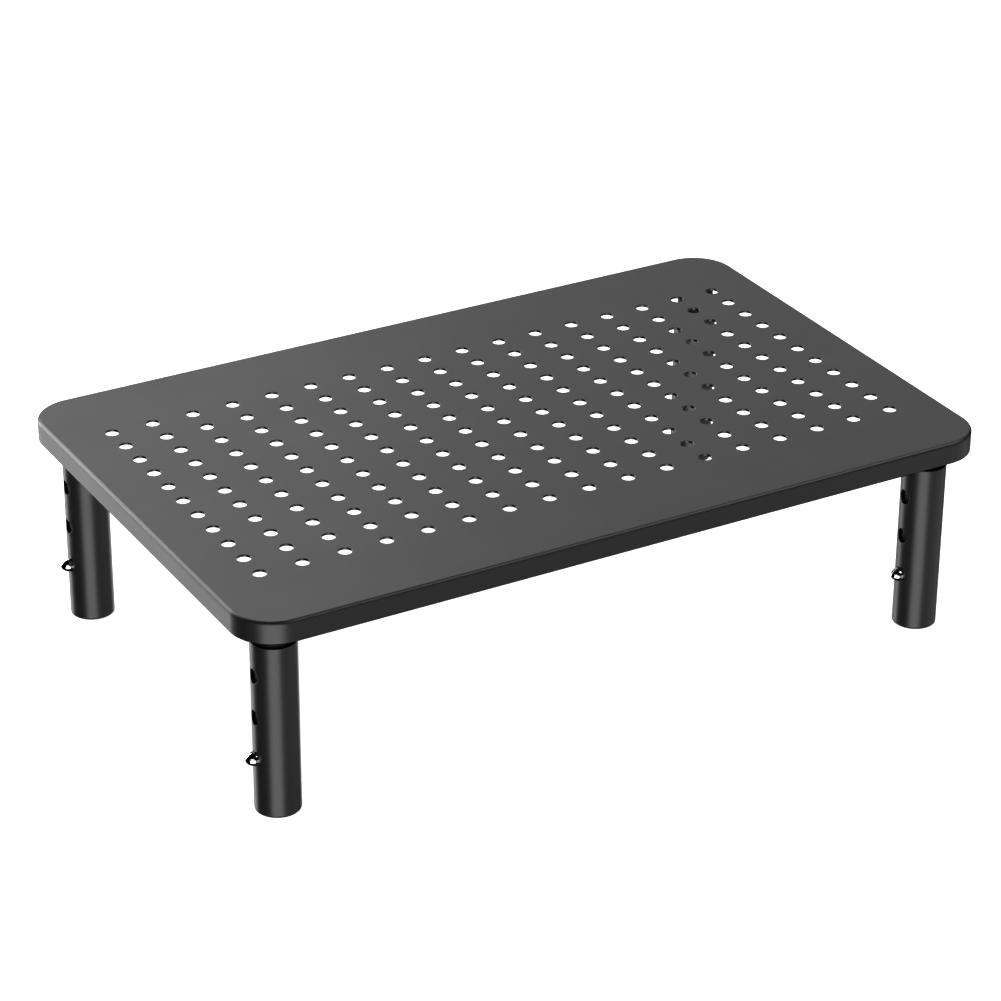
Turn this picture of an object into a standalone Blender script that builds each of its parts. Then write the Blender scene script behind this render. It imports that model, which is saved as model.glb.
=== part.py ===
"""Monitor riser stand: a perforated steel pan on four telescopic legs that lock with snap buttons.

The frame is in metres with +Z up. The origin is on the ground under the middle of the platform,
+X runs along the platform's long side to the right and +Y from the front to the back.
Each leg tube slides down a post welded under the pan, and a sprung button in the post
drops into one of the three holes in the tube.
"""

import math

import bmesh
import bpy
from mathutils import Matrix, Vector

MM = 0.001

# Driving dimensions
PLATFORM_WIDTH = 370 * MM
PLATFORM_DEPTH = 235 * MM
STAND_HEIGHT = 100.5 * MM
SHEET = 1.2 * MM
SKIRT_HEIGHT = 10.5 * MM
CORNER_RADIUS = 20 * MM
FOLD_RADIUS = 1.5 * MM
LEG_INSET_X, LEG_INSET_Y = 20 * MM, 20.5 * MM

VENT_COLUMNS, VENT_ROWS = 17, 11
VENT_PITCH_X, VENT_PITCH_Y = 20 * MM, 15 * MM
VENT_DIAMETER = 6.3 * MM

TUBE_RADIUS = 10.2 * MM
TUBE_WALL = 1.2 * MM
TUBE_TOP = 82 * MM
POST_RADIUS = 8.7 * MM
POST_WALL = 1.2 * MM
POST_BOTTOM = 14 * MM
LOCK_HEIGHT = 26.5 * MM
LOCK_PITCH = 20 * MM
LOCK_COUNT = 3
LOCK_HOLE_RADIUS = 3.5 * MM

FOOT_FLANGE = 0.5 * MM
FOOT_RADIUS = 9.9 * MM
FOOT_PLUG_TOP = 10 * MM
PLATE_THICKNESS = 1.5 * MM
BUTTON_RADIUS = 3.2 * MM
BUTTON_PROUD = 4.5 * MM
SPRING_THICKNESS = 0.5 * MM
SPRING_WIDTH = 7 * MM

GAP = 0.3 * MM
WELD = 1e-6
TUBE_SEGMENTS = 24
VENT_SEGMENTS = 8
HOLE_SEGMENTS = 16
BUTTON_SEGMENTS = 16

# Worked out from the driving dimensions
CORNER_X = PLATFORM_WIDTH / 2 - CORNER_RADIUS
CORNER_Y = PLATFORM_DEPTH / 2 - CORNER_RADIUS
LEG_X = PLATFORM_WIDTH / 2 - LEG_INSET_X
LEG_Y = PLATFORM_DEPTH / 2 - LEG_INSET_Y
SHEET_UNDERSIDE = STAND_HEIGHT - SHEET
PLATE_TOP = SHEET_UNDERSIDE - GAP
PLATE_BOTTOM = PLATE_TOP - PLATE_THICKNESS
CORNERS = {
    "front_left": (-1, -1),
    "front_right": (1, -1),
    "back_left": (-1, 1),
    "back_right": (1, 1),
}


def clear_scene():
    for obj in list(bpy.data.objects):
        bpy.data.objects.remove(obj, do_unlink=True)


def make_material(name, colour, roughness, metallic):
    material = bpy.data.materials.new(name)
    material.use_nodes = True
    shader = material.node_tree.nodes["Principled BSDF"]
    shader.inputs["Base Color"].default_value = (*colour, 1)
    shader.inputs["Roughness"].default_value = roughness
    shader.inputs["Metallic"].default_value = metallic
    return material


def mesh_from(name, bm, sharp_degrees=35):
    """The bmesh as a mesh that is smooth apart from its sharp edges."""
    bmesh.ops.recalc_face_normals(bm, faces=bm.faces)
    mesh = bpy.data.meshes.new(name)
    bm.to_mesh(mesh)
    bm.free()
    mesh.shade_smooth()
    mesh.set_sharp_from_angle(angle=math.radians(sharp_degrees))
    return mesh


def link(name, data=None, parent=None, location=(0, 0, 0)):
    """An object in the scene, or an empty where there is no data."""
    obj = bpy.data.objects.new(name, data)
    bpy.context.scene.collection.objects.link(obj)
    obj.parent = parent
    obj.location = location
    return obj


def place(name, mesh, material, parent, location=(0, 0, 0)):
    """One piece of the stand. Copies of a piece share its mesh and so its material."""
    if not mesh.materials:
        mesh.materials.append(material)
    return link(name, mesh, parent, location)


def evaluated_mesh(obj, name):
    """The object's mesh with its modifiers applied."""
    bpy.context.view_layer.update()
    graph = bpy.context.evaluated_depsgraph_get()
    mesh = bpy.data.meshes.new_from_object(obj.evaluated_get(graph))
    mesh.name = name
    return mesh


def cut_mesh(name, mesh, cutter, arrays=()):
    """The mesh with the cutter taken out of it, the cutter first repeated by (count, step) arrays."""
    body = link(name + "_body", mesh)
    tool = link(name + "_cutter", cutter)
    tool.hide_render = True
    tool.display_type = "WIRE"
    for count, step in arrays:
        array = tool.modifiers.new("Array", "ARRAY")
        array.count = count
        array.use_relative_offset = False
        array.use_constant_offset = True
        array.constant_offset_displace = step
    boolean = body.modifiers.new("Boolean", "BOOLEAN")
    boolean.operation = "DIFFERENCE"
    boolean.solver = "EXACT"
    boolean.object = tool
    result = evaluated_mesh(body, name)
    bpy.data.objects.remove(body, do_unlink=True)
    bpy.data.objects.remove(tool, do_unlink=True)
    return result


def turned(profile, segments, closed=False):
    """A bmesh turned about Z from (radius, height) points. An open profile starts and ends on the axis."""
    bm = bmesh.new()
    verts = [bm.verts.new((radius, 0, height)) for radius, height in profile]
    edges = [bm.edges.new(pair) for pair in zip(verts, verts[1:])]
    if closed:
        edges.append(bm.edges.new((verts[-1], verts[0])))
    bmesh.ops.spin(
        bm,
        geom=verts + edges,
        cent=(0, 0, 0),
        axis=(0, 0, 1),
        angle=math.tau,
        steps=segments,
    )
    bmesh.ops.remove_doubles(bm, verts=bm.verts, dist=WELD)
    return bm


def rod_cutter(name, radius, start, end, heights, segments):
    """Rods that point along -X from start to end away from the Z axis, one at each height."""
    bm = bmesh.new()
    for height in heights:
        middle = Vector((-(start + end) / 2, 0, height))
        bmesh.ops.create_cone(
            bm,
            cap_ends=True,
            segments=segments,
            radius1=radius,
            radius2=radius,
            depth=end - start,
            matrix=Matrix.Translation(middle) @ Matrix.Rotation(math.pi / 2, 4, "Y"),
        )
    return mesh_from(name, bm)


def rounded_loop(inset, height, arc_steps=6):
    """The platform's outline, moved in by inset, as points at one height."""
    radius = CORNER_RADIUS - inset
    points = []
    for quarter, (side_x, side_y) in enumerate([(1, 1), (-1, 1), (-1, -1), (1, -1)]):
        for step in range(arc_steps + 1):
            angle = math.pi / 2 * (quarter + step / arc_steps)
            points.append(
                Vector((
                    side_x * CORNER_X + radius * math.cos(angle),
                    side_y * CORNER_Y + radius * math.sin(angle),
                    height,
                ))
            )
    return points


def fold_profile(radius, height, inset, steps=3):
    """(inset, height) points round the fold from the skirt's wall to the flat sheet."""
    points = []
    for step in range(steps + 1):
        angle = math.pi / 2 * step / steps
        points.append((
            inset + radius * (1 - math.cos(angle)),
            height - radius * (1 - math.sin(angle)),
        ))
    return points


def platform_mesh():
    """A sheet pan with a folded skirt, then a grid of vent holes through its flat top."""
    skirt_bottom = STAND_HEIGHT - SKIRT_HEIGHT
    inner_fold = fold_profile(FOLD_RADIUS - SHEET, SHEET_UNDERSIDE, SHEET, steps=2)
    outer_fold = fold_profile(FOLD_RADIUS, STAND_HEIGHT, 0)
    profile = inner_fold[::-1] + [(SHEET, skirt_bottom), (0, skirt_bottom)] + outer_fold
    bm = bmesh.new()
    rings = []
    for inset, height in profile:
        rings.append([bm.verts.new(point) for point in rounded_loop(inset, height)])
    count = len(rings[0])
    for ring, following in zip(rings, rings[1:]):
        for i in range(count):
            j = (i + 1) % count
            bm.faces.new((ring[i], ring[j], following[j], following[i]))
    bm.faces.new(rings[0])
    bm.faces.new(rings[-1])
    pan = mesh_from("platform_pan", bm)

    start_x = -(VENT_COLUMNS - 1) / 2 * VENT_PITCH_X
    start_y = -(VENT_ROWS - 1) / 2 * VENT_PITCH_Y
    cutter = bmesh.new()
    bmesh.ops.create_cone(
        cutter,
        cap_ends=True,
        segments=VENT_SEGMENTS,
        radius1=VENT_DIAMETER / 2,
        radius2=VENT_DIAMETER / 2,
        depth=4 * SHEET,
        matrix=Matrix.Translation((start_x, start_y, STAND_HEIGHT - SHEET / 2)),
    )
    arrays = [
        (VENT_COLUMNS, (VENT_PITCH_X, 0, 0)),
        (VENT_ROWS, (0, VENT_PITCH_Y, 0)),
    ]
    return cut_mesh("platform", pan, mesh_from("vent", cutter), arrays)


def corner_plate_mesh(name, side_x, side_y):
    """A flat plate in the pan's corner that carries the post and stays clear of the vent holes."""
    reach = CORNER_RADIUS - SHEET - 2 * GAP
    inner_reach_x = 16 * MM
    inner_reach_y = 12 * MM
    clipped = 5 * MM
    arc_steps = 6
    outline = [(-inner_reach_x, reach), (-inner_reach_x, -inner_reach_y + clipped)]
    outline += [(-inner_reach_x + clipped, -inner_reach_y), (reach, -inner_reach_y)]
    for step in range(arc_steps + 1):
        angle = math.pi / 2 * step / arc_steps
        outline.append((reach * math.cos(angle), reach * math.sin(angle)))
    bm = bmesh.new()
    verts = [bm.verts.new((side_x * x, side_y * y, PLATE_BOTTOM)) for x, y in outline]
    face = bm.faces.new(verts)
    lifted = bmesh.ops.extrude_face_region(bm, geom=[face])["geom"]
    lifted = [item for item in lifted if isinstance(item, bmesh.types.BMVert)]
    bmesh.ops.translate(bm, verts=lifted, vec=(0, 0, PLATE_THICKNESS))
    return mesh_from(name, bm)


def leg_post_mesh():
    """The welded inner tube, with one hole that the snap button comes out of."""
    inner = POST_RADIUS - POST_WALL
    top = PLATE_BOTTOM - GAP
    profile = [(inner, POST_BOTTOM), (POST_RADIUS, POST_BOTTOM), (POST_RADIUS, top), (inner, top)]
    post = mesh_from("post_blank", turned(profile, TUBE_SEGMENTS, closed=True))
    start, end = POST_RADIUS / 2, 1.5 * POST_RADIUS
    hole = rod_cutter("post_hole", LOCK_HOLE_RADIUS, start, end, [LOCK_HEIGHT], HOLE_SEGMENTS)
    return cut_mesh("leg_post", post, hole)


def leg_tube_mesh():
    """The outer tube, with a rounded rim at both ends and a row of lock holes facing -X."""
    inner = TUBE_RADIUS - TUBE_WALL
    bottom = FOOT_FLANGE + GAP
    rim = 0.4 * MM
    profile = [
        (inner, bottom),
        (TUBE_RADIUS - rim, bottom),
        (TUBE_RADIUS, bottom + rim),
        (TUBE_RADIUS, TUBE_TOP - rim),
        (TUBE_RADIUS - rim, TUBE_TOP),
        (inner, TUBE_TOP),
    ]
    tube = mesh_from("tube_blank", turned(profile, TUBE_SEGMENTS, closed=True))
    start, end = TUBE_RADIUS / 2, 1.5 * TUBE_RADIUS
    heights = [LOCK_HEIGHT + number * LOCK_PITCH for number in range(LOCK_COUNT)]
    holes = rod_cutter("tube_holes", LOCK_HOLE_RADIUS, start, end, heights, HOLE_SEGMENTS)
    return cut_mesh("leg_tube", tube, holes)


def foot_pad_mesh():
    """A rubber plug pushed into the tube, with a thin flange that the stand rests on."""
    plug = TUBE_RADIUS - TUBE_WALL - GAP
    hollow = 5.5 * MM
    edge = 0.3 * MM
    lead_in = 0.8 * MM
    floor = 3 * MM
    profile = [
        (0, 0),
        (FOOT_RADIUS - edge, 0),
        (FOOT_RADIUS, edge),
        (FOOT_RADIUS, FOOT_FLANGE),
        (plug, FOOT_FLANGE),
        (plug, FOOT_PLUG_TOP - lead_in),
        (plug - lead_in, FOOT_PLUG_TOP),
        (hollow, FOOT_PLUG_TOP),
        (hollow, floor),
        (0, floor),
    ]
    return mesh_from("foot_pad", turned(profile, TUBE_SEGMENTS))


def snap_button_mesh():
    """A domed button turned about its own axis, which points along -X out of the leg.

    A flange keeps it in the post, and a riveted tail holds it on the leaf spring.
    """
    tail_radius, head_radius, flange_radius = 1.2 * MM, 2.1 * MM, 4.2 * MM
    head_start, head_end = 3 * MM, 3.7 * MM
    flange_start, flange_end = 4.8 * MM, 5.6 * MM
    tip = TUBE_RADIUS + BUTTON_PROUD
    dome = 2.6 * MM
    dome_steps = 4
    profile = [
        (0, head_start),
        (head_radius, head_start),
        (head_radius, head_end),
        (tail_radius, head_end),
        (tail_radius, flange_start),
        (flange_radius, flange_start),
        (flange_radius, flange_end),
        (BUTTON_RADIUS, flange_end),
    ]
    for step in range(dome_steps + 1):
        angle = math.pi / 2 * step / dome_steps
        profile.append((BUTTON_RADIUS * math.cos(angle), tip - dome * (1 - math.sin(angle))))
    bm = turned(profile, BUTTON_SEGMENTS)
    bmesh.ops.rotate(bm, verts=bm.verts, matrix=Matrix.Rotation(-math.pi / 2, 3, "Y"))
    return mesh_from("snap_button", bm)


def leaf_spring_mesh():
    """A V of spring strip inside the post: a front leaf that carries the button and a back leaf."""
    front, back = -4.25 * MM, 5.5 * MM
    bend_radius, bend_height = 2.2 * MM, 24 * MM
    tail_hole = 1.6 * MM
    end = 5 * MM
    bend_steps = 8
    path = [(front, -end), (front, end)]
    for step in range(bend_steps + 1):
        angle = math.pi * (1 - step / bend_steps)
        path.append((bend_radius * math.cos(angle), bend_height + bend_radius * math.sin(angle)))
    path += [(back, 0), (back - GAP, -end)]
    bm = bmesh.new()
    rows = []
    for x, z in path:
        rows.append([bm.verts.new((x, side * SPRING_WIDTH / 2, z)) for side in (-1, 1)])
    for row, following in zip(rows, rows[1:]):
        bm.faces.new((row[0], row[1], following[1], following[0]))
    strip = link("strip", mesh_from("strip", bm))
    solidify = strip.modifiers.new("Solidify", "SOLIDIFY")
    solidify.thickness = SPRING_THICKNESS
    solidify.offset = 0
    solidify.use_even_offset = True
    solid = evaluated_mesh(strip, "leaf_solid")
    bpy.data.objects.remove(strip, do_unlink=True)
    hole = rod_cutter("tail_hole", tail_hole, MM, 8 * MM, [0], 12)
    return cut_mesh("leaf_spring", solid, hole)


def build():
    clear_scene()
    black = make_material("black_powder_coat", (0.045, 0.045, 0.047), 0.5, 0.0)
    rubber = make_material("black_rubber", (0.03, 0.03, 0.03), 0.85, 0.0)
    chrome = make_material("bright_chrome", (0.8, 0.8, 0.8), 0.12, 1.0)
    spring_steel = make_material("spring_steel", (0.45, 0.45, 0.47), 0.35, 1.0)

    stand = link("stand_frame")
    place("platform", platform_mesh(), black, stand)
    post, tube, foot = leg_post_mesh(), leg_tube_mesh(), foot_pad_mesh()
    button, spring = snap_button_mesh(), leaf_spring_mesh()
    for corner, (side_x, side_y) in CORNERS.items():
        at_leg = (side_x * LEG_X, side_y * LEG_Y, 0)
        fixed = link("fixed_" + corner, None, stand, at_leg)
        plate = corner_plate_mesh("corner_plate_" + corner, side_x, side_y)
        place("corner_plate_" + corner, plate, black, fixed)
        place("leg_post_" + corner, post, black, fixed)
        place("leaf_spring_" + corner, spring, spring_steel, fixed, (0, 0, LOCK_HEIGHT))
        sliding = link("slide_axis_" + corner, None, stand, at_leg)
        place("leg_tube_" + corner, tube, black, sliding)
        place("foot_pad_" + corner, foot, rubber, sliding)
        place("snap_button_" + corner, button, chrome, fixed, (0, 0, LOCK_HEIGHT))


build()
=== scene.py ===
import bisect
import math

import bmesh
import bpy
from mathutils import Matrix, Quaternion, Vector


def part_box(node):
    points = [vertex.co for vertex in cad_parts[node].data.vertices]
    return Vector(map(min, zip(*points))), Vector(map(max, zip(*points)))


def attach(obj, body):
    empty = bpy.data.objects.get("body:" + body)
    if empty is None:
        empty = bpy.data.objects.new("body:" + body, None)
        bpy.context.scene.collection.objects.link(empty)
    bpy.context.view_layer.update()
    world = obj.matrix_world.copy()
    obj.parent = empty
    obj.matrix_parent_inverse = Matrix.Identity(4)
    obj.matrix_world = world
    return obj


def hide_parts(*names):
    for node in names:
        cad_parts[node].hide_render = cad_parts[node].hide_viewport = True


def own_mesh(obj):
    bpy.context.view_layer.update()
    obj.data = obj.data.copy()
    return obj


MM = 0.001
CORNERS = ("front_left", "front_right", "back_left", "back_right")

# Camera, as angles round the stand
CAMERA_AZIMUTH = -29.837
CAMERA_ELEVATION = 27.604
CAMERA_ROLL = 0.349
CAMERA_DISTANCE = 1.6217
CAMERA_TARGET = Vector((8.744, 18.032, 49.214)) * MM
CAMERA_LENS = 125.42

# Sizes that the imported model's boxes don't give
SHEET = 1.2 * MM
CORNER_RADIUS = 20 * MM
FOLD_RADIUS = 1.5 * MM
HEM_RADIUS = 0.58 * MM
VENT_COLUMNS, VENT_ROWS = 17, 11
VENT_PITCH_X, VENT_PITCH_Y = 20 * MM, 15 * MM
VENT_RADIUS = 3.17 * MM
TUBE_WALL = 1.2 * MM
LOCK_PITCH = 20 * MM
LOCK_COUNT = 3
LOCK_HOLE_RADIUS = 3.5 * MM

# Shader values that several materials share
NOISE_LOW, NOISE_HIGH = 0.3, 0.7
FLAT_POINTINESS, EDGE_POINTINESS = 0.53, 0.6
MIX_FACTOR, MIX_FIRST, MIX_SECOND, MIX_RESULT = 0, 6, 7, 2

# The lights face a point this far above the floor, and the floor reaches this far each way
LIGHTS_AIM_HEIGHT = 0.05
FLOOR_REACH = 6

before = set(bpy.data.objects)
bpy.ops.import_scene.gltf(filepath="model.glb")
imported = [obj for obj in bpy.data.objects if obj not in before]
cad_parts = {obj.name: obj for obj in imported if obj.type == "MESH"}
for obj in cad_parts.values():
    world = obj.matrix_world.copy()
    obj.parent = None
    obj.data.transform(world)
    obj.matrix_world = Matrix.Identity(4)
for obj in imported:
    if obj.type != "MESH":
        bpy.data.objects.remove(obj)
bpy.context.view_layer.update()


# ---------------------------------------------------------------- mesh tools


def steps(start, end, count):
    """The start, the end and the evenly spaced numbers between them, count + 1 in all."""
    return [start + (end - start) * i / count for i in range(count + 1)]


def add_object(name, bm):
    bmesh.ops.recalc_face_normals(bm, faces=bm.faces)
    mesh = bpy.data.meshes.new(name)
    bm.to_mesh(mesh)
    bm.free()
    obj = bpy.data.objects.new(name, mesh)
    bpy.context.scene.collection.objects.link(obj)
    return obj


def apply_modifiers(obj):
    """Puts what the modifiers make in the mesh itself, and removes them."""
    bpy.context.view_layer.update()
    graph = bpy.context.evaluated_depsgraph_get()
    mesh = bpy.data.meshes.new_from_object(obj.evaluated_get(graph))
    mesh.name = obj.name
    obj.modifiers.clear()
    obj.data = mesh


def smooth(obj, degrees=40):
    """Shades the object round, apart from its edges sharper than the angle."""
    obj.data.shade_smooth()
    obj.data.set_sharp_from_angle(angle=math.radians(degrees))


def thicken(obj, thickness, offset=-1, face=None, edge=None):
    """Gives a skin its thickness. The face material covers it, and the edge material its cut edges."""
    for material in (face, edge):
        if material:
            obj.data.materials.append(material)
    solidify = obj.modifiers.new("Thickness", "SOLIDIFY")
    solidify.thickness = thickness
    solidify.offset = offset
    solidify.use_even_offset = True
    solidify.material_offset_rim = 1 if edge else 0


def round_edges(obj, chosen, width, segments):
    """Rounds the edges that the test picks, in the mesh itself."""
    apply_modifiers(obj)
    bm = bmesh.new()
    bm.from_mesh(obj.data)
    edges = [e for e in bm.edges if chosen(e)]
    bmesh.ops.bevel(bm, geom=edges, offset=width, segments=segments, profile=0.5, affect="EDGES")
    bm.to_mesh(obj.data)
    bm.free()


def ease_edges(obj, width, degrees=40):
    """Rounds the sharp edges, and shades the flats flat and the rounds round."""
    bevel = obj.modifiers.new("Edges", "BEVEL")
    bevel.width = width
    bevel.segments = 2
    bevel.limit_method = "ANGLE"
    bevel.angle_limit = math.radians(degrees)
    weighted = obj.modifiers.new("Shading", "WEIGHTED_NORMAL")
    weighted.keep_sharp = True


def finish_piece(obj, body, node, material):
    """Applies the modifiers, puts the piece on its body and lets it stand for its CAD node."""
    apply_modifiers(obj)
    if material:
        obj.data.materials.clear()
        obj.data.materials.append(material)
    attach(obj, body)
    if node:
        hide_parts(node)


def skin(bm, us, vs, holes, place, support, closed=False):
    """Adds a grid of quads over the us and vs, with a round hole in each hole's cell.

    A hole is (first column, last column, first row, last row, radius). A ring of quads at the
    support share of the way in keeps the shading of the sheet clean round the hole's edge.
    """
    last = len(us) - 1
    grid = {}

    def corner(i, j):
        key = (i % last if closed else i, j)
        if key not in grid:
            grid[key] = bm.verts.new(place(us[key[0]], vs[j]))
        return grid[key]

    taken = set()
    for i0, i1, j0, j1, radius in holes:
        border = [(i, j0) for i in range(i0, i1)]
        border += [(i1, j) for j in range(j0, j1)]
        border += [(i, j1) for i in range(i1, i0, -1)]
        border += [(i0, j) for j in range(j1, j0, -1)]
        middle = Vector(((us[i0] + us[i1]) / 2, (vs[j0] + vs[j1]) / 2))
        first = math.atan2(vs[j0] - middle.y, us[i0] - middle.x)
        ring = [corner(i, j) for i, j in border]
        for share in (support, 1):
            inner = []
            for k, (i, j) in enumerate(border):
                angle = first + math.tau * k / len(border)
                rim = middle + radius * Vector((math.cos(angle), math.sin(angle)))
                inner.append(bm.verts.new(place(*Vector((us[i], vs[j])).lerp(rim, share))))
            for k in range(len(border)):
                following = (k + 1) % len(border)
                bm.faces.new((ring[k], ring[following], inner[following], inner[k]))
            ring = inner
        taken.update((i, j) for i in range(i0, i1) for j in range(j0, j1))
    for i in range(last):
        for j in range(len(vs) - 1):
            if (i, j) not in taken:
                bm.faces.new((corner(i, j), corner(i + 1, j), corner(i + 1, j + 1), corner(i, j + 1)))


def turned(name, profile, segments, spin_axis="Z"):
    """A solid turned from (radius, height) points that start and end on the axis."""
    joined = 1e-6
    bm = bmesh.new()
    verts = [bm.verts.new((radius, 0, height)) for radius, height in profile]
    edges = [bm.edges.new(pair) for pair in zip(verts, verts[1:])]
    bmesh.ops.spin(
        bm, geom=verts + edges, cent=(0, 0, 0), axis=(0, 0, 1), angle=math.tau, steps=segments
    )
    bmesh.ops.remove_doubles(bm, verts=bm.verts, dist=joined)
    if spin_axis == "-X":
        bmesh.ops.rotate(bm, verts=bm.verts, matrix=Matrix.Rotation(-math.pi / 2, 3, "Y"))
    return add_object(name, bm)


def arc(centre_radius, centre_height, radius, start, end, count):
    """(radius, height) points along an arc, with its angles in degrees from the outward direction."""
    points = []
    for angle in steps(math.radians(start), math.radians(end), count):
        points.append((
            centre_radius + radius * math.cos(angle),
            centre_height + radius * math.sin(angle),
        ))
    return points


def middle_of(node):
    """The middle of the node's box."""
    low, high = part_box(node)
    return (low + high) / 2


# ----------------------------------------------------------------- materials


def new_material(name, colour, roughness, metallic=0.0):
    material = bpy.data.materials.new(name)
    material.use_nodes = True
    shader = material.node_tree.nodes["Principled BSDF"]
    shader.inputs["Base Color"].default_value = (*colour, 1)
    shader.inputs["Roughness"].default_value = roughness
    shader.inputs["Metallic"].default_value = metallic
    return material, shader


def add_node(tree, kind, **settings):
    """A node with each setting on its input of that name, or else on the node itself."""
    node = tree.nodes.new(kind)
    for name, value in settings.items():
        if name in node.inputs:
            node.inputs[name].default_value = value
        else:
            setattr(node, name, value)
    return node


def noise(tree, cell, detail=3.0, stretch=None):
    """Noise whose grains are about cell metres across, stretched along each axis where asked."""
    coordinates = add_node(tree, "ShaderNodeTexCoord")
    texture = add_node(tree, "ShaderNodeTexNoise", Scale=1 / cell, Detail=detail, Roughness=0.55)
    source = coordinates.outputs["Object"]
    if stretch:
        mapping = add_node(tree, "ShaderNodeMapping", Scale=stretch)
        tree.links.new(source, mapping.inputs["Vector"])
        source = mapping.outputs["Vector"]
    tree.links.new(source, texture.inputs["Vector"])
    return texture.outputs["Fac"]


def spread(tree, factor, low, high):
    """The noise, which lies mostly between NOISE_LOW and NOISE_HIGH, spread over low to high."""
    node = add_node(tree, "ShaderNodeMapRange")
    node.inputs["From Min"].default_value = NOISE_LOW
    node.inputs["From Max"].default_value = NOISE_HIGH
    node.inputs["To Min"].default_value = low
    node.inputs["To Max"].default_value = high
    tree.links.new(factor, node.inputs["Value"])
    return node.outputs["Result"]


def total(tree, first, second):
    node = add_node(tree, "ShaderNodeMath", operation="ADD")
    tree.links.new(first, node.inputs[0])
    tree.links.new(second, node.inputs[1])
    return node.outputs["Value"]


def bump(tree, shader, height, distance):
    """Bump from the height, where a height of 1 is as tall as the distance."""
    node = add_node(tree, "ShaderNodeBump", Strength=1.0, Distance=distance)
    tree.links.new(height, node.inputs["Height"])
    tree.links.new(node.outputs["Normal"], shader.inputs["Normal"])


def edge_share(tree):
    """0 on flats and 1 on worn outer edges, broken up by noise."""
    geometry = add_node(tree, "ShaderNodeNewGeometry")
    edges = add_node(tree, "ShaderNodeMapRange")
    edges.inputs["From Min"].default_value = FLAT_POINTINESS
    edges.inputs["From Max"].default_value = EDGE_POINTINESS
    tree.links.new(geometry.outputs["Pointiness"], edges.inputs["Value"])
    broken = add_node(tree, "ShaderNodeMath", operation="MULTIPLY", use_clamp=True)
    tree.links.new(edges.outputs["Result"], broken.inputs[0])
    tree.links.new(spread(tree, noise(tree, 4 * MM), 0.1, 1.0), broken.inputs[1])
    return broken.outputs["Value"]


def two_colours(tree, shader, factor, first, second):
    """The first colour where the factor is 0, and the second where it is 1."""
    mix = add_node(tree, "ShaderNodeMix", data_type="RGBA")
    mix.inputs[MIX_FIRST].default_value = (*first, 1)
    mix.inputs[MIX_SECOND].default_value = (*second, 1)
    tree.links.new(factor, mix.inputs[MIX_FACTOR])
    tree.links.new(mix.outputs[MIX_RESULT], shader.inputs["Base Color"])


def powder_coat():
    """Satin black powder coat: fine orange peel, cloudy gloss and faintly paler edges."""
    base, worn, roughness = 0.005, 0.011, 0.36
    material, shader = new_material("powder_coat_black", (base,) * 3, roughness)
    tree = material.node_tree
    peel = noise(tree, 1.1 * MM, detail=2.0)
    grain = noise(tree, 0.22 * MM, detail=2.0)
    clouds = spread(tree, noise(tree, 35 * MM, detail=4.0), -0.015, 0.015)
    gloss = spread(tree, grain, roughness - 0.02, roughness + 0.02)
    tree.links.new(total(tree, clouds, gloss), shader.inputs["Roughness"])
    two_colours(tree, shader, edge_share(tree), (base,) * 3, (worn,) * 3)
    bump(tree, shader, total(tree, peel, grain), 0.004 * MM)
    return material


def shaded_thin_coat(name, base, roughness, specular):
    """A darker, duller copy of the coat, painted shade for hole walls, cut edges, the hem and the posts,
    with a fine grain showing through.
    """
    material, shader = new_material(name, (base,) * 3, roughness)
    shader.inputs["Specular IOR Level"].default_value = specular
    tree = material.node_tree
    grain = noise(tree, 0.25 * MM, detail=3.0, stretch=(1, 1, 0.3))
    gloss = spread(tree, grain, roughness - 0.06, roughness + 0.06)
    tree.links.new(gloss, shader.inputs["Roughness"])
    two_colours(tree, shader, noise(tree, 2 * MM), (base * 0.8,) * 3, (base * 1.3,) * 3)
    bump(tree, shader, grain, 0.01 * MM)
    return material


def chrome_plate():
    """Bright plating with hairline turning marks and a few cloudy spots."""
    material, shader = new_material("chrome_plate", (0.78, 0.78, 0.79), 0.06, 1.0)
    tree = material.node_tree
    marks = noise(tree, 0.9 * MM, detail=4.0, stretch=(12, 1, 1))
    tree.links.new(spread(tree, noise(tree, 0.6 * MM), 0.04, 0.1), shader.inputs["Roughness"])
    bump(tree, shader, marks, 0.002 * MM)
    return material


def spring_steel():
    """Rolled and blued strip with a fine grain along its length."""
    material, shader = new_material("spring_steel", (0.4, 0.4, 0.42), 0.32, 1.0)
    tree = material.node_tree
    grain = noise(tree, 0.4 * MM, detail=4.0, stretch=(4, 4, 0.3))
    tree.links.new(spread(tree, grain, 0.25, 0.42), shader.inputs["Roughness"])
    two_colours(tree, shader, noise(tree, 3 * MM), (0.3, 0.31, 0.34), (0.5, 0.49, 0.48))
    bump(tree, shader, grain, 0.003 * MM)
    return material


def moulded_rubber():
    """Matt black rubber with a fine moulded grain and paler scuffed edges."""
    base, scuffed = 0.007, 0.02
    material, shader = new_material("moulded_rubber", (base,) * 3, 0.62)
    tree = material.node_tree
    grain = noise(tree, 0.3 * MM, detail=4.0)
    tree.links.new(spread(tree, grain, 0.55, 0.72), shader.inputs["Roughness"])
    two_colours(tree, shader, edge_share(tree), (base,) * 3, (scuffed,) * 3)
    bump(tree, shader, grain, 0.02 * MM)
    return material


# -------------------------------------------------------------------- pieces


def outline(inset, height):
    """The platform's outline, moved in by inset, as points at one height."""
    arc_steps = 20
    low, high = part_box("platform")
    radius = CORNER_RADIUS - inset
    sides = [(high.x, high.y), (low.x, high.y), (low.x, low.y), (high.x, low.y)]
    points = []
    for quarter, (x, y) in enumerate(sides):
        centre_x = x - math.copysign(CORNER_RADIUS, x)
        centre_y = y - math.copysign(CORNER_RADIUS, y)
        for angle in steps(math.pi / 2 * quarter, math.pi / 2 * (quarter + 1), arc_steps):
            points.append((
                centre_x + radius * math.cos(angle),
                centre_y + radius * math.sin(angle),
                height,
            ))
    return points


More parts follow.
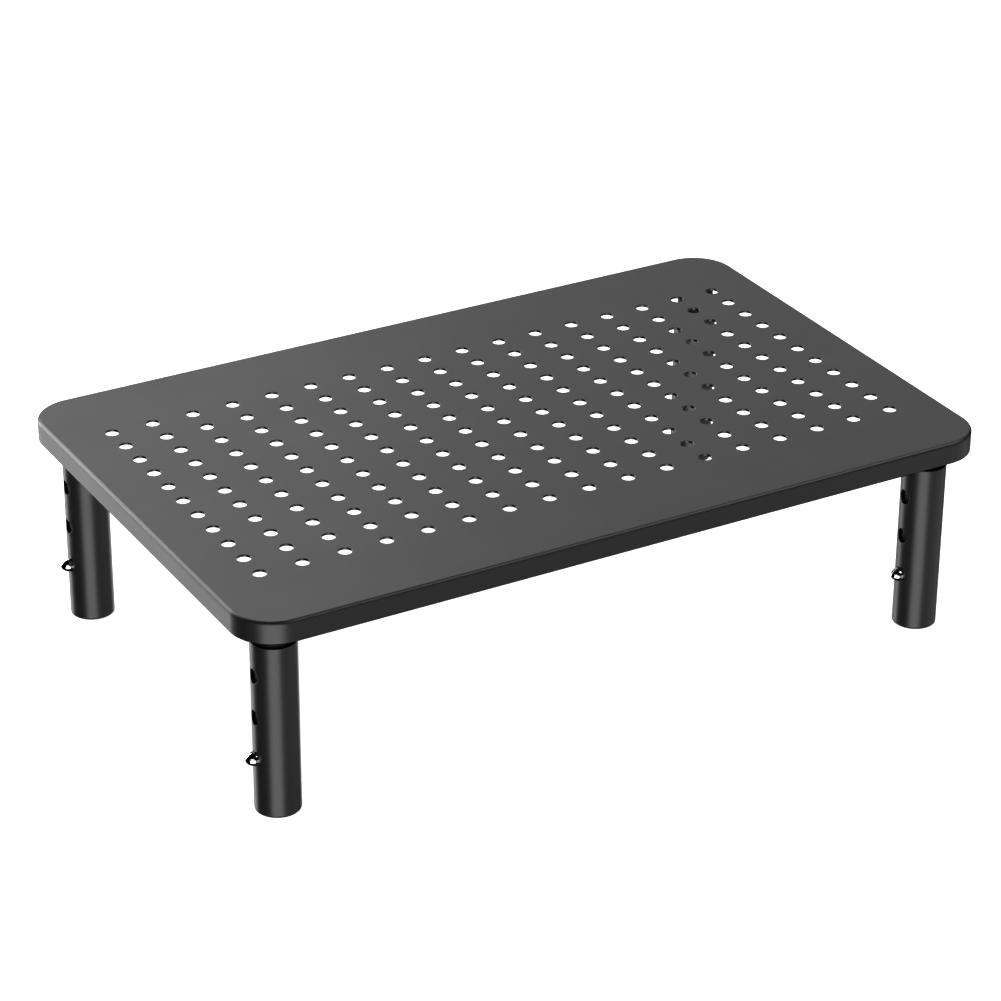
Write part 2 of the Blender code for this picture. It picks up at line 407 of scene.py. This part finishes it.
def make_platform(coat, punched, cut):
    """The perforated top, its folded edge and its skirt as one skin, thickened and eased."""
    low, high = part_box("platform")
    bm = bmesh.new()
    split_x, split_y = 8, 6
    fold_steps, skirt_steps = 6, 3
    half_x = VENT_COLUMNS * VENT_PITCH_X / 2
    half_y = VENT_ROWS * VENT_PITCH_Y / 2
    us = steps(-half_x, half_x, VENT_COLUMNS * split_x)
    vs = steps(-half_y, half_y, VENT_ROWS * split_y)
    holes = []
    for column in range(VENT_COLUMNS):
        for row in range(VENT_ROWS):
            i, j = column * split_x, row * split_y
            holes.append((i, i + split_x, j, j + split_y, VENT_RADIUS))
    skin(bm, us, vs, holes, lambda u, v: (u, v, high.z), support=0.9)
    grid_edges = [e for e in bm.edges if e.is_boundary and not near_a_vent(e)]

    rings = []
    fold = arc(-FOLD_RADIUS, high.z - FOLD_RADIUS, FOLD_RADIUS, 90, 0, fold_steps)
    skirt = [(0, z) for z in steps(high.z - 2 * FOLD_RADIUS, low.z, skirt_steps)]
    for offset, height in fold + skirt:
        rings.append([bm.verts.new(point) for point in outline(-offset, height)])
    count = len(rings[0])
    for ring, following in zip(rings, rings[1:]):
        for i in range(count):
            j = (i + 1) % count
            bm.faces.new((ring[i], following[i], following[j], ring[j]))
    top_edges = [bm.edges.get((rings[0][i], rings[0][(i + 1) % count])) for i in range(count)]
    bmesh.ops.triangle_fill(bm, use_beauty=True, use_dissolve=False, edges=grid_edges + top_edges)
    obj = add_object("platform_shell", bm)
    if obj.data.polygons[0].normal.z < 0:
        obj.data.flip_normals()
    smooth(obj)
    # The vent holes' walls get a darker coat: painted shade inside the holes.
    thicken(obj, SHEET, face=coat, edge=punched)

    def on_hem(edge):
        at_bottom = all(v.co.z < low.z + 0.01 * MM for v in edge.verts)
        return at_bottom and edge.calc_face_angle(0) > math.radians(60)

    round_edges(obj, on_hem, HEM_RADIUS, segments=5)
    # The skirt's bottom hem gets the darker cut-edge coat: painted shade along the skirt's lower edge.
    obj.data.materials.append(cut)
    hem_shade_index = len(obj.data.materials) - 1
    for face in obj.data.polygons:
        if face.center.z < low.z + HEM_RADIUS:
            face.material_index = hem_shade_index
    smooth(obj)
    ease_edges(obj, 0.1 * MM, degrees=60)
    finish_piece(obj, "platform", "platform", None)


def near_a_vent(edge):
    """Whether an edge is part of a vent hole's rim and not of the grid's outer border."""
    middle = (edge.verts[0].co + edge.verts[1].co) / 2
    inside_x = abs(middle.x) < VENT_COLUMNS * VENT_PITCH_X / 2 - MM
    inside_y = abs(middle.y) < VENT_ROWS * VENT_PITCH_Y / 2 - MM
    return inside_x and inside_y


def drilled_tube(name, node, wall, hole_heights, coat, cut):
    """A round tube on its node's axis, with lock holes on the side that faces -X."""
    low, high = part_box(node)
    middle = (low + high) / 2
    radius = (high.y - low.y) / 2
    cell = 5 * MM
    cell_steps, rest_steps, top_steps = 10, 50, 3
    length = math.tau * radius
    us = steps(0, 2 * cell, cell_steps) + steps(2 * cell, length, rest_steps)[1:]
    vs = [low.z]
    holes = []
    for height in sorted(hole_heights):
        vs.append((vs[-1] + height - cell) / 2)
        first = len(vs)
        vs += steps(height - cell, height + cell, cell_steps)
        holes.append((0, cell_steps, first, first + cell_steps, LOCK_HOLE_RADIUS))
    vs += steps(vs[-1], high.z, top_steps)[1:]

    def place(u, v):
        """The point u round the tube, where the holes' middle is one cell along, at height v."""
        angle = math.pi + (u - cell) / radius
        return (middle.x + radius * math.cos(angle), middle.y + radius * math.sin(angle), v)

    bm = bmesh.new()
    skin(bm, us, vs, holes, place, support=0.6, closed=True)
    obj = add_object(name, bm)
    smooth(obj)
    # The lock holes' walls and the tube's ends get the darker cut-edge coat: painted shade inside the
    # holes.
    thicken(obj, wall, face=coat, edge=cut)
    ease_edges(obj, 0.12 * MM)
    return obj


def make_leg_tube(corner, coat, cut):
    """The outer tube, with its lowest lock hole at the button and the others above it."""
    button = middle_of("snap_button_" + corner)
    heights = [button.z + LOCK_PITCH * number for number in range(LOCK_COUNT)]
    node = "leg_tube_" + corner
    obj = drilled_tube("leg_tube_shell_" + corner, node, TUBE_WALL, heights, coat, cut)
    finish_piece(obj, "leg_" + corner, node, None)


def make_leg_post(corner, coat, cut):
    """The inner tube, with one hole for the button."""
    button = middle_of("snap_button_" + corner)
    node = "leg_post_" + corner
    # The post gets a darker coat: painted shade where it shows through the lock holes and under the skirt.
    obj = drilled_tube("leg_post_shell_" + corner, node, TUBE_WALL, [button.z], coat, cut)
    finish_piece(obj, "platform", node, None)


def make_weld_bead(corner, material):
    """A ring of overlapping weld ripples where the post meets its corner plate."""
    low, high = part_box("leg_post_" + corner)
    middle = (low + high) / 2
    post_radius = (high.y - low.y) / 2
    ripples, round_steps, section_steps = 26, 156, 8
    thin, swell, tallest, sunk = 0.85, 0.2, 0.3 * MM, 0.1 * MM
    bm = bmesh.new()
    rings = []
    for i in range(round_steps):
        angle = math.tau * i / round_steps
        bead = (thin + swell * abs(math.sin(ripples * angle / 2))) * MM
        ring = []
        for k in range(section_steps):
            turn = math.tau * k / section_steps
            radius = post_radius + sunk + bead * math.cos(turn)
            height = high.z - sunk + min(bead * math.sin(turn), tallest)
            ring.append(bm.verts.new((
                middle.x + radius * math.cos(angle),
                middle.y + radius * math.sin(angle),
                height,
            )))
        rings.append(ring)
    for i, ring in enumerate(rings):
        following = rings[(i + 1) % round_steps]
        for k in range(section_steps):
            j = (k + 1) % section_steps
            bm.faces.new((ring[k], following[k], following[j], ring[j]))
    obj = add_object("weld_bead_" + corner, bm)
    smooth(obj, 70)
    finish_piece(obj, "platform", None, material)


def make_foot(corner, material):
    """A moulded foot: a thin flange with tread rings below, and a ribbed plug in the tube."""
    node = "foot_pad_" + corner
    low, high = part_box(node)
    flange = 10.1 * MM
    flange_top = 0.78 * MM
    plug = 8.9 * MM
    bore, bore_floor = 5.5 * MM, 3 * MM
    tread, tread_depth, tread_pitch, tread_rings = 0.8 * MM, 0.15 * MM, 1.6 * MM, 4
    lower_lip, upper_lip = 0.15 * MM, 0.12 * MM
    ribs, rib_pitch, rib_depth = 3, 2.2, 0.25 * MM
    core = plug - rib_depth
    profile = [(0, 0)]
    for number in range(1, tread_rings + 1):
        start = number * tread_pitch
        profile += [(start, 0), (start, tread_depth), (start + tread, tread_depth), (start + tread, 0)]
    profile += arc(flange - lower_lip, lower_lip, lower_lip, -90, 0, 3)
    profile += arc(flange - upper_lip, flange_top - upper_lip, upper_lip, 0, 90, 2)
    profile.append((core, flange_top))
    for rib in range(ribs):
        base = flange_top + (1 + rib_pitch * rib) * MM
        profile += [
            (core, base),
            (plug, base + 0.3 * MM),
            (plug, base + 0.9 * MM),
            (core, base + 1.3 * MM),
        ]
    profile += [(core, high.z - 1.2 * MM), (plug - MM, high.z), (bore, high.z)]
    profile += [(bore, bore_floor), (0, bore_floor)]
    obj = turned("foot_" + corner, profile, 64)
    obj.location = (*middle_of(node).xy, low.z)
    smooth(obj)
    finish_piece(obj, "leg_" + corner, node, material)


def make_button(corner, material):
    """A plated plunger: riveted tail, flange, straight neck and pointed dome."""
    node = "snap_button_" + corner
    low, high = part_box(node)
    flange = (high.y - low.y) / 2
    tip = middle_of("leg_post_" + corner).x - low.x
    tail_end = middle_of("leg_post_" + corner).x - high.x
    tail, head, neck = 1.2 * MM, 2.1 * MM, 3.2 * MM
    flange_back = tail_end + 1.8 * MM
    flange_front = flange_back + 0.8 * MM
    dome, pointedness, dome_steps = 4.3 * MM, 1.35, 16
    head_edge, flange_edge = 0.2 * MM, 0.15 * MM
    shoulder = tip - dome
    profile = [(0, tail_end), (head - head_edge, tail_end), (head, tail_end + head_edge)]
    profile += [(head, tail_end + 0.6 * MM), (tail, tail_end + 0.7 * MM), (tail, flange_back)]
    profile += [(flange - flange_edge, flange_back), (flange, flange_back + flange_edge)]
    profile += [(flange, flange_front - flange_edge), (flange - flange_edge, flange_front)]
    profile.append((neck, flange_front))
    for angle in steps(0, math.pi / 2, dome_steps):
        nose = max(math.cos(angle), 0) ** pointedness
        profile.append((neck * nose, shoulder + dome * math.sin(angle)))
    obj = turned("button_" + corner, profile, 48, spin_axis="-X")
    obj.location = (middle_of("leg_post_" + corner).x, *middle_of(node).yz)
    smooth(obj)
    finish_piece(obj, "button_" + corner, node, material)


def eased(share):
    """The share of the way along an S curve that starts and ends level."""
    return share * share * (3 - 2 * share)


def spring_path(front, back, bottom, bend_height, bend_radius):
    """(x, z) points from the foot of the front leaf, up round the bend and down the back leaf."""
    straight = 5 * MM
    leaf_steps, bend_steps = 24, 16
    path = []
    for z in steps(bottom, bend_height, leaf_steps):
        share = max(0, (z - straight) / (bend_height - straight))
        path.append((front + (-bend_radius - front) * eased(share), z))
    for angle in steps(math.pi, 0, bend_steps)[1:]:
        path.append((bend_radius * math.cos(angle), bend_height + bend_radius * math.sin(angle)))
    for z in steps(bend_height, bottom, leaf_steps)[1:]:
        share = (bend_height - z) / (bend_height - bottom)
        path.append((bend_radius + (back - bend_radius) * eased(share), z))
    return path


def make_spring(corner, material):
    """A bent strip with a hole in its front leaf for the button's tail."""
    node = "leaf_spring_" + corner
    low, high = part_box(node)
    post, button = middle_of("leg_post_" + corner), middle_of("snap_button_" + corner)
    thickness = 0.5 * MM
    half_width = (high.y - low.y) / 2
    bend_radius = 2.2 * MM
    tail_hole = 1.6 * MM
    bottom = low.z - button.z
    bend_height = high.z - button.z - bend_radius - thickness / 2
    front = low.x - post.x + thickness / 2
    back = high.x - post.x - thickness / 2
    path = spring_path(front, back, bottom, bend_height, bend_radius)
    lengths = [0]
    for (x0, z0), (x1, z1) in zip(path, path[1:]):
        lengths.append(lengths[-1] + math.hypot(x1 - x0, z1 - z0))

    def place(u, v):
        """The point u across the strip and v along it."""
        i = min(max(bisect.bisect_right(lengths, v), 1), len(path) - 1)
        share = (v - lengths[i - 1]) / (lengths[i] - lengths[i - 1])
        x = path[i - 1][0] + share * (path[i][0] - path[i - 1][0])
        z = path[i - 1][1] + share * (path[i][1] - path[i - 1][1])
        return (post.x + x, post.y + u, button.z + z)

    cell = 3 * MM
    cell_steps = 8
    us = [-half_width] + steps(-cell, cell, cell_steps) + [half_width]
    hole_start = -bottom - cell
    vs = [0, hole_start / 2] + steps(hole_start, hole_start + 2 * cell, cell_steps)
    vs += [v for v in lengths if v > vs[-1] + 0.2 * MM]
    hole = (1, 1 + cell_steps, 2, 2 + cell_steps, tail_hole)
    bm = bmesh.new()
    skin(bm, us, vs, [hole], place, support=0.5)
    obj = add_object("spring_strip_" + corner, bm)
    smooth(obj)
    thicken(obj, thickness, offset=0)
    ease_edges(obj, 0.08 * MM)
    finish_piece(obj, "platform", node, material)
    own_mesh(obj)


def make_plate(corner, material):
    """The corner plate in its node's shape, as one skin with eased edges."""
    node = "corner_plate_" + corner
    bm = bmesh.new()
    bm.from_mesh(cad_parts[node].data)
    joined, flat = 0.01 * MM, math.radians(1)
    bmesh.ops.remove_doubles(bm, verts=bm.verts, dist=joined)
    bmesh.ops.dissolve_limit(bm, angle_limit=flat, verts=bm.verts, edges=bm.edges)
    obj = add_object("corner_plate_shell_" + corner, bm)
    ease_edges(obj, 0.25 * MM)
    finish_piece(obj, "platform", node, material)


# --------------------------------------------------------------------- stage


def facing(azimuth, elevation):
    """The direction to a point seen from the stand. Azimuth 0 is the front and 90 the right."""
    a, e = math.radians(azimuth), math.radians(elevation)
    return Vector((math.sin(a) * math.cos(e), -math.cos(a) * math.cos(e), math.sin(e)))


def make_camera():
    data = bpy.data.cameras.new("camera")
    data.lens = CAMERA_LENS
    data.sensor_width = 36
    data.clip_start, data.clip_end = 0.05, 50
    camera = bpy.data.objects.new("camera", data)
    bpy.context.scene.collection.objects.link(camera)
    back = facing(CAMERA_AZIMUTH, CAMERA_ELEVATION)
    camera.location = CAMERA_TARGET + back * CAMERA_DISTANCE
    camera.rotation_mode = "QUATERNION"
    roll = Quaternion((0, 0, 1), math.radians(CAMERA_ROLL))
    camera.rotation_quaternion = (-back).to_track_quat("-Z", "Y") @ roll
    bpy.context.scene.camera = camera


def make_floor():
    """A pale lit floor in four tiles. Each tile goes with the leg that stands on it."""
    glow = 0.72
    material, shader = new_material("pale_floor", (0.8, 0.8, 0.8), 0.9)
    shader.inputs["Specular IOR Level"].default_value = 0
    shader.inputs["Emission Color"].default_value = (1, 1, 1, 1)
    shader.inputs["Emission Strength"].default_value = glow
    for corner in CORNERS:
        leg = middle_of("leg_tube_" + corner)
        x, y = math.copysign(FLOOR_REACH, leg.x), math.copysign(FLOOR_REACH, leg.y)
        bm = bmesh.new()
        bm.faces.new([bm.verts.new(point) for point in [(0, 0, 0), (x, 0, 0), (x, y, 0), (0, y, 0)]])
        tile = add_object("floor_" + corner, bm)
        tile.data.materials.append(material)
        tile.visible_glossy = False
        tile.visible_shadow = False
        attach(tile, "leg_" + corner)


def make_card(name, azimuth, elevation, distance, width, height, radiance):
    """A soft rectangular light that faces the stand and is as bright all over as radiance says."""
    data = bpy.data.lights.new(name, "AREA")
    data.shape = "RECTANGLE"
    data.size, data.size_y = width, height
    data.energy = radiance * width * height * math.pi
    card = bpy.data.objects.new(name, data)
    bpy.context.scene.collection.objects.link(card)
    away = facing(azimuth, elevation)
    card.location = away * distance + Vector((0, 0, LIGHTS_AIM_HEIGHT))
    card.rotation_mode = "QUATERNION"
    card.rotation_quaternion = (-away).to_track_quat("-Z", "Y")
    card.visible_camera = False


def make_lights():
    """An evenly white world that reflections don't show, and cards for the reflections."""
    world = bpy.data.worlds.new("studio")
    world.use_nodes = True
    background = world.node_tree.nodes["Background"]
    background.inputs["Color"].default_value = (1, 1, 1, 1)
    background.inputs["Strength"].default_value = 1.0
    world.cycles_visibility.glossy = False
    bpy.context.scene.world = world
    bpy.context.scene.view_settings.view_transform = "Standard"

    # name, azimuth, elevation, distance, width, height, radiance
    make_card("front_low", -30, -24, 2.6, 2.15, 2.1, 3.2)
    make_card("front_mid", -40, 10, 1.3, 0.7, 0.5, 1.2)
    make_card("left_low", -156, -24, 2.6, 1.0, 1.6, 2.3)
    make_card("behind_low", 180, -24, 1.3, 0.5, 0.8, 0.5)
    make_card("left_key", -149, 11, 1.4, 0.55, 0.9, 8.5)
    make_card("left_high", -167, 35, 1.4, 0.5, 0.5, 7.4)
    make_card("back_left", 174, 36, 1.6, 1.0, 0.8, 0.77)
    make_card("back_wide", 146, 28, 1.7, 1.9, 0.9, 0.8)
    make_card("back_high", 158, 50, 1.6, 1.1, 0.5, 1.0)
    make_card("back_right_low", 138, -24, 1.6, 1.3, 0.8, 1.3)
    make_card("right_front", 22, -22, 1.5, 1.2, 0.9, 0.33)
    make_card("right_back", 68, -20, 1.5, 1.4, 0.9, 0.45)
    make_card("right_high", 50, 48, 1.5, 1.4, 0.7, 2.4)


# ---------------------------------------------------------------------- main

make_camera()
coat = powder_coat()
chrome, steel, rubber = chrome_plate(), spring_steel(), moulded_rubber()
# Darker copies of the coat, as painted shade: cut edges and the skirt's hem, vent-hole walls, and the
# inner posts.
cut = shaded_thin_coat("powder_coat_cut_edge_painted_shade", 0.0015, 0.6, 0.02)
punched = shaded_thin_coat("powder_coat_punched_painted_shade", 0.003, 0.22, 0.38)
shaded_post_coat = shaded_thin_coat("powder_coat_post_painted_shade", 0.0035, 0.48, 0.06)
make_platform(coat, punched, cut)
for corner in CORNERS:
    make_leg_tube(corner, coat, cut)
    make_leg_post(corner, shaded_post_coat, cut)
    make_weld_bead(corner, coat)
    make_foot(corner, rubber)
    make_button(corner, chrome)
    make_spring(corner, steel)
    make_plate(corner, coat)
make_floor()
make_lights()
